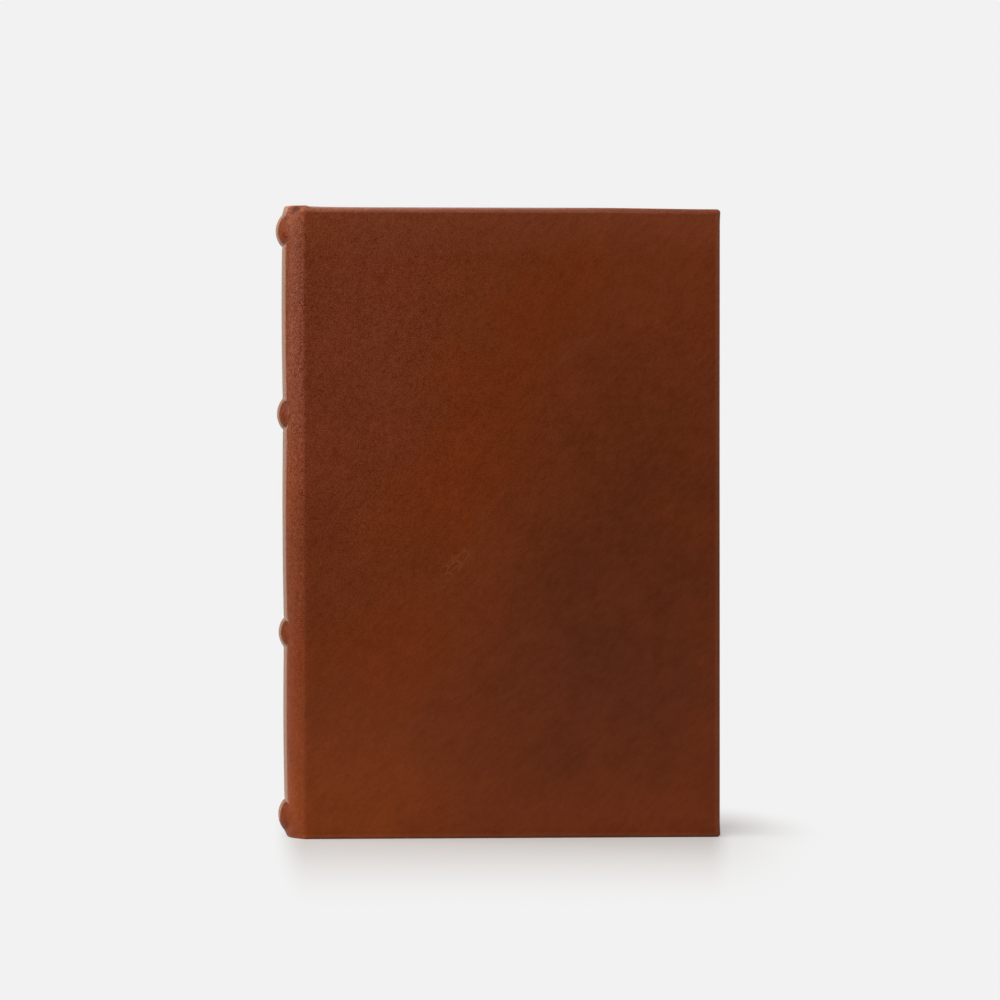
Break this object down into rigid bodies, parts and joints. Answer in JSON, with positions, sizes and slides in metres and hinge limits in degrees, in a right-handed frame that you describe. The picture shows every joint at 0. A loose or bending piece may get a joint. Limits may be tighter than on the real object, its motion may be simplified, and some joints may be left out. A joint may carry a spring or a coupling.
{
  "type": "leather journal",
  "caption": "Upright hardback journal bound in brown leather, with a rounded spine, raised bands and two covers that swing open on their joints.",
  "frame": {"origin": "under the middle of the book, on the surface that it stands on", "axes": "+Z from tail to head, +Y through the book from front cover to back cover, +X from spine to fore-edge"},
  "size_m": [0.1516, 0.026, 0.2165],
  "materials": {
    "hide": "brown waxed hide with a fine grain and a soft sheen",
    "pages": "cream uncoated paper",
    "endpaper": "plain cream endpaper",
    "binders_board": "grey-brown board",
    "lining": "card and cloth",
    "cord": "layered offcuts of hide",
    "endband": "thread wound on a core"
  },
  "bodies": {
    "book_block": {"text_block": "pages", "spine_lining": "lining", "spine_leather": "hide", "head_band": "endband", "tail_band": "endband", "raised_band_head": "cord", "raised_band_upper": "cord", "raised_band_lower": "cord", "raised_band_tail": "cord"},
    "front_cover": {"front_board": "binders_board", "front_leather": "hide", "front_pastedown": "endpaper"},
    "back_cover": {"back_board": "binders_board", "back_leather": "hide", "back_pastedown": "endpaper"}
  },
  "joints": [
    {"name": "front_cover_hinge", "type": "hinge", "parent": "book_block", "child": "front_cover", "pos_m": [-0.06677, -0.013, 0.108], "axis": [0, 0, -1], "range_deg": [0, 180]},
    {"name": "back_cover_hinge", "type": "hinge", "parent": "book_block", "child": "back_cover", "pos_m": [-0.06677, 0.013, 0.108], "axis": [0, 0, 1], "range_deg": [0, 180]}
  ]
}
